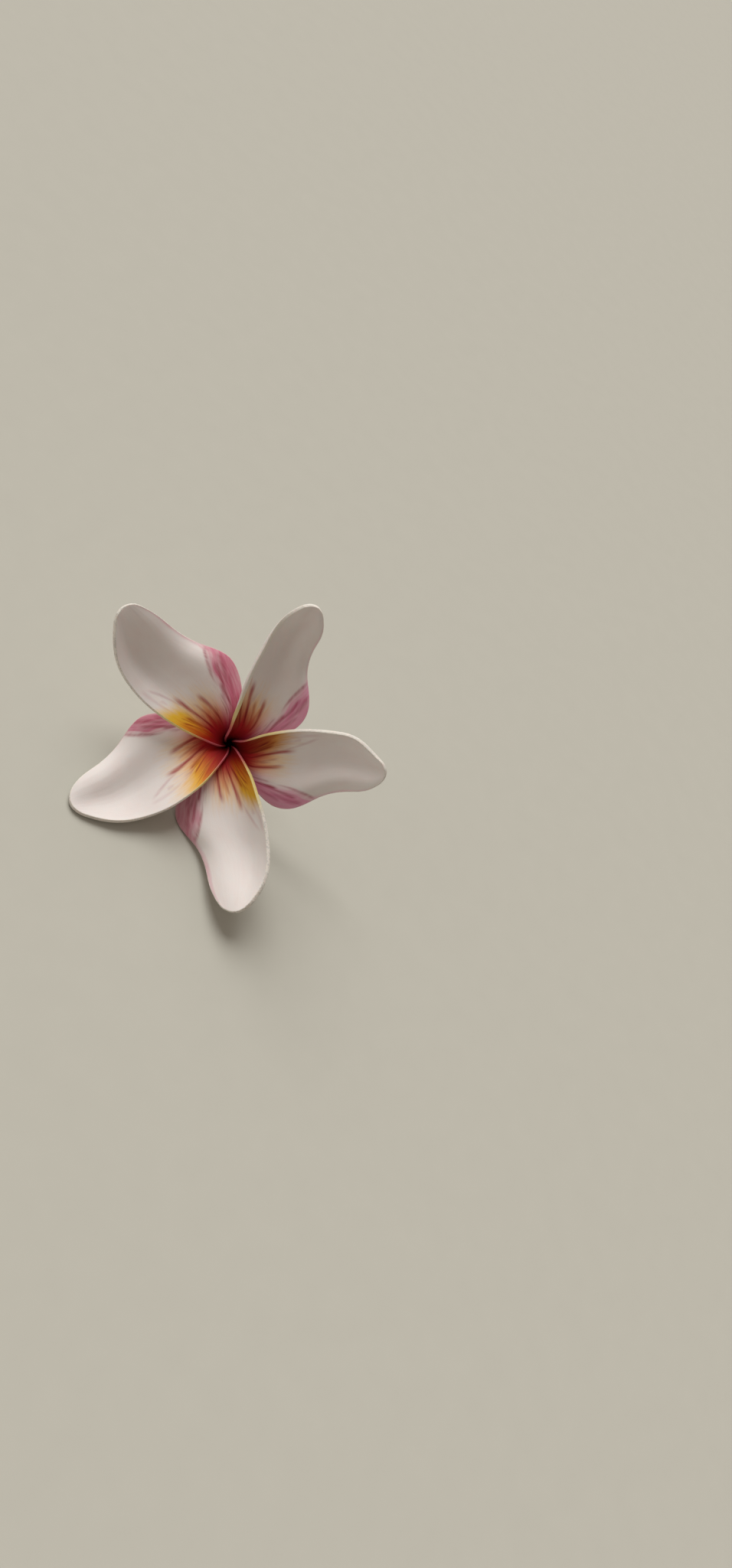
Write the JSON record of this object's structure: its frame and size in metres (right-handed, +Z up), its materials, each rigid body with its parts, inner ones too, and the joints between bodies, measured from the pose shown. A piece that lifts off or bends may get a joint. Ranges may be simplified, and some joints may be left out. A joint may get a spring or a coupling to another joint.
{
  "type": "frangipani flower",
  "caption": "Open frangipani blossom with pinwheel petals round a deep throat, a trumpet tube, a small lobed calyx and a short cut stalk, lying on its back.",
  "frame": {"origin": "on the surface that the flower lies on, under the middle of its bounding box", "axes": "+Z up from that surface, the flower's face turned up and towards -Y, +X to the right as one looks at the face"},
  "size_m": [0.1052, 0.0812, 0.073],
  "materials": {
    "petal": "satin warm-white petal, yellow and crimson towards the throat, pink along the tucked edge",
    "tube": "satin ivory flushed with pink and green",
    "green": "matt green calyx and stalk"
  },
  "bodies": {
    "root": {"petal_upper_left": "petal", "petal_upper_right": "petal", "petal_right": "petal", "petal_lower": "petal", "petal_left": "petal", "corolla_tube": "tube", "calyx": "green", "pedicel": "green"}
  },
  "joints": []
}
